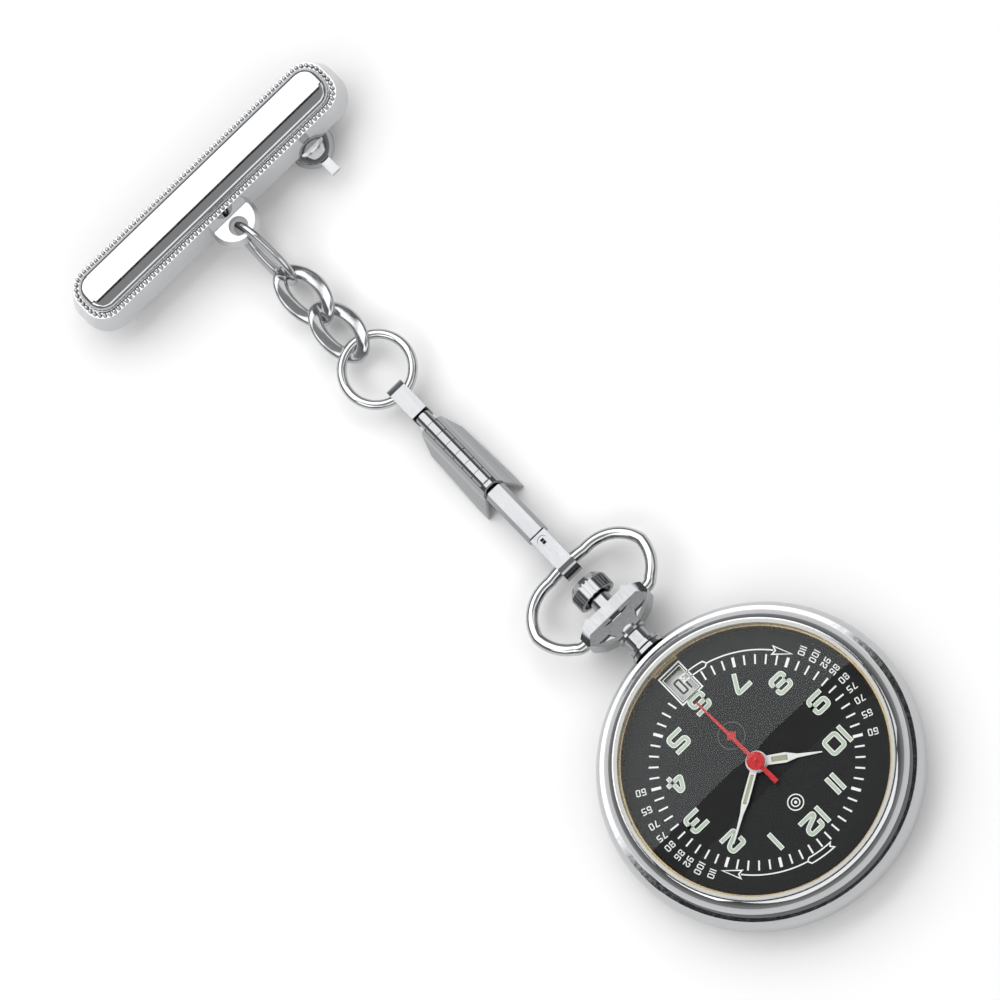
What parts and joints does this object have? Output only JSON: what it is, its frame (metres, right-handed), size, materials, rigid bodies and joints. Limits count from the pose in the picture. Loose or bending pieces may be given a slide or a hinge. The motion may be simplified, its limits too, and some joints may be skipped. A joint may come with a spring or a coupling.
{
  "type": "fob watch",
  "caption": "Round quartz fob watch with black dial, crown and bow, hung from a sliding clip, jump ring and chain on a beaded pin bar with safety catch.",
  "frame": {"origin": "centre of the flat case back, on the watch's own axis", "axes": "+Z out of the crystal, +Y from the watch along the chain to the pin bar, +X to the right"},
  "size_m": [0.0348, 0.101, 0.008],
  "materials": {
    "polished_chrome": "mirror-polished chrome plate",
    "back_steel": "fine circular brushing",
    "crystal": "clear mineral crystal",
    "clear_gasket": "translucent nylon",
    "gold_ring": "satin gold-coloured",
    "dial_black": "satin black lacquer with printed scales",
    "hand_white": "white lacquer with pale lume",
    "hand_red": "gloss red lacquer",
    "date_white": "white print",
    "holder_plastic": "moulded natural plastic",
    "plate_steel": "nickelled plate",
    "wheel_brass": "fine turned brass",
    "cell_steel": "plain steel can",
    "coil_copper": "lacquered copper winding",
    "board_green": "solder-masked board",
    "seal_rubber": "black rubber",
    "pin_steel": "drawn steel wire"
  },
  "bodies": {
    "case": {"case_middle": "polished_chrome", "case_back": "back_steel", "back_gasket": "seal_rubber", "bezel": "polished_chrome", "crystal": "crystal", "crystal_gasket": "clear_gasket", "dial_ring": "gold_ring", "dial": "dial_black", "movement_holder": "holder_plastic", "main_plate": "plate_steel", "train_bridge": "plate_steel", "bridge_screws": "pin_steel", "battery_cell": "cell_steel", "battery_clip": "cell_steel", "coil": "coil_copper", "stator": "plate_steel", "circuit_board": "board_green", "quartz_can": "cell_steel", "crown_gasket": "seal_rubber", "crown_tube": "polished_chrome", "pendant": "polished_chrome"},
    "seconds_train": {"seconds_wheel": "wheel_brass", "seconds_hand": "hand_red"},
    "third_wheel": {"third_wheel": "wheel_brass"},
    "minute_train": {"centre_wheel": "wheel_brass", "minute_hand": "hand_white"},
    "minute_wheel": {"minute_wheel": "wheel_brass"},
    "hour_train": {"hour_wheel": "wheel_brass", "hour_hand": "hand_white"},
    "intermediate_wheel": {"intermediate_wheel": "wheel_brass"},
    "rotor": {"rotor": "pin_steel"},
    "date_disc": {"date_disc": "date_white"},
    "clutch": {"clutch_wheel": "pin_steel"},
    "crown_and_stem": {"crown": "polished_chrome", "stem": "pin_steel"},
    "bow": {"bow": "polished_chrome"},
    "clip": {"clip_body": "polished_chrome"},
    "slide": {"clip_slide": "polished_chrome", "clip_gate": "polished_chrome"},
    "jump_ring": {"jump_ring": "polished_chrome"},
    "lower_link": {"curb_link_lower": "polished_chrome"},
    "upper_link": {"curb_link_upper": "polished_chrome"},
    "oval_link": {"oval_link": "polished_chrome"},
    "bar": {"bar_shell": "polished_chrome", "bar_back_plate": "polished_chrome", "hanger_lug": "polished_chrome", "pin_hinge": "polished_chrome", "hinge_rivet": "pin_steel", "catch_housing": "polished_chrome"},
    "pin": {"pin_stem": "pin_steel"},
    "catch_lock": {"catch_lock": "polished_chrome"}
  },
  "joints": [
    {"name": "seconds_turn", "type": "hinge", "parent": "case", "child": "seconds_train", "pos_m": [0, 0, 0], "axis": [0, 0, -1], "continuous": true},
    {"name": "third_wheel_turn", "type": "hinge", "parent": "case", "child": "third_wheel", "pos_m": [-0.00248, 0.00295, 0], "axis": [0, 0, -1], "continuous": true},
    {"name": "minute_turn", "type": "hinge", "parent": "case", "child": "minute_train", "pos_m": [0, 0, 0], "axis": [0, 0, -1], "continuous": true},
    {"name": "minute_wheel_turn", "type": "hinge", "parent": "case", "child": "minute_wheel", "pos_m": [0.00323, 0, 0], "axis": [0, 0, -1], "continuous": true},
    {"name": "hour_turn", "type": "hinge", "parent": "case", "child": "hour_train", "pos_m": [0, 0, 0], "axis": [0, 0, -1], "continuous": true},
    {"name": "intermediate_turn", "type": "hinge", "parent": "case", "child": "intermediate_wheel", "pos_m": [-0.00214, -0.00214, 0], "axis": [0, 0, -1], "continuous": true},
    {"name": "rotor_turn", "type": "hinge", "parent": "case", "child": "rotor", "pos_m": [-0.00365, -0.00365, 0], "axis": [0, 0, -1], "continuous": true},
    {"name": "date_turn", "type": "hinge", "parent": "case", "child": "date_disc", "pos_m": [0, 0, 0], "axis": [0, 0, -1], "continuous": true},
    {"name": "crown_turn", "type": "hinge", "parent": "case", "child": "clutch", "pos_m": [0, 0.009, 0.0034], "axis": [0, 1, 0], "continuous": true},
    {"name": "crown_pull", "type": "slide", "parent": "clutch", "child": "crown_and_stem", "axis": [0, 1, 0], "range_m": [0, 0.0008]},
    {"name": "bow_swing", "type": "hinge", "parent": "case", "child": "bow", "pos_m": [0, 0.0212, 0.0034], "axis": [1, 0, 0], "range_deg": [-50, 60]},
    {"name": "clip_swing", "type": "hinge", "parent": "bow", "child": "clip", "pos_m": [0, 0.02886, 0.0022], "axis": [1, 0, 0], "range_deg": [-40, 40]},
    {"name": "gate_slide", "type": "slide", "parent": "clip", "child": "slide", "axis": [0, 1, 0], "range_m": [0, 0.0016]},
    {"name": "ring_swing", "type": "hinge", "parent": "clip", "child": "jump_ring", "pos_m": [0, 0.05298, 0.0022], "axis": [1, 0, 0], "range_deg": [-45, 45]},
    {"name": "lower_link_swing", "type": "hinge", "parent": "jump_ring", "child": "lower_link", "pos_m": [0, 0.06022, 0.0022], "axis": [1, 0, 0], "range_deg": [-34, 34]},
    {"name": "upper_link_swing", "type": "hinge", "parent": "lower_link", "child": "upper_link", "pos_m": [0, 0.06552, 0.0022], "axis": [0.809, 0, -0.5878], "range_deg": [-30, 30]},
    {"name": "oval_link_swing", "type": "hinge", "parent": "upper_link", "child": "oval_link", "pos_m": [0, 0.07067, 0.0022], "axis": [0.809, 0, 0.5878], "range_deg": [-30, 30]},
    {"name": "bar_swing", "type": "hinge", "parent": "oval_link", "child": "bar", "pos_m": [0, 0.07655, 0.0044], "axis": [1, 0, 0], "range_deg": [-9, 46]},
    {"name": "pin_swing", "type": "hinge", "parent": "bar", "child": "pin", "pos_m": [-0.0118, 0.079, 0.002], "axis": [0, 1, 0], "range_deg": [0, 60]},
    {"name": "catch_turn", "type": "hinge", "parent": "bar", "child": "catch_lock", "pos_m": [0.0107, 0.079, 0.002], "axis": [1, 0, 0], "range_deg": [0, 110]}
  ],
  "couplings": [
    {"joint": "third_wheel_turn", "follows": "seconds_turn", "ratio": -0.13333},
    {"joint": "minute_turn", "follows": "seconds_turn", "ratio": 0.016667},
    {"joint": "minute_wheel_turn", "follows": "seconds_turn", "ratio": -0.0055556},
    {"joint": "hour_turn", "follows": "seconds_turn", "ratio": 0.0013889},
    {"joint": "intermediate_turn", "follows": "seconds_turn", "ratio": -5},
    {"joint": "rotor_turn", "follows": "seconds_turn", "ratio": 30},
    {"joint": "date_turn", "follows": "seconds_turn", "ratio": 0.000022401}
  ]
}
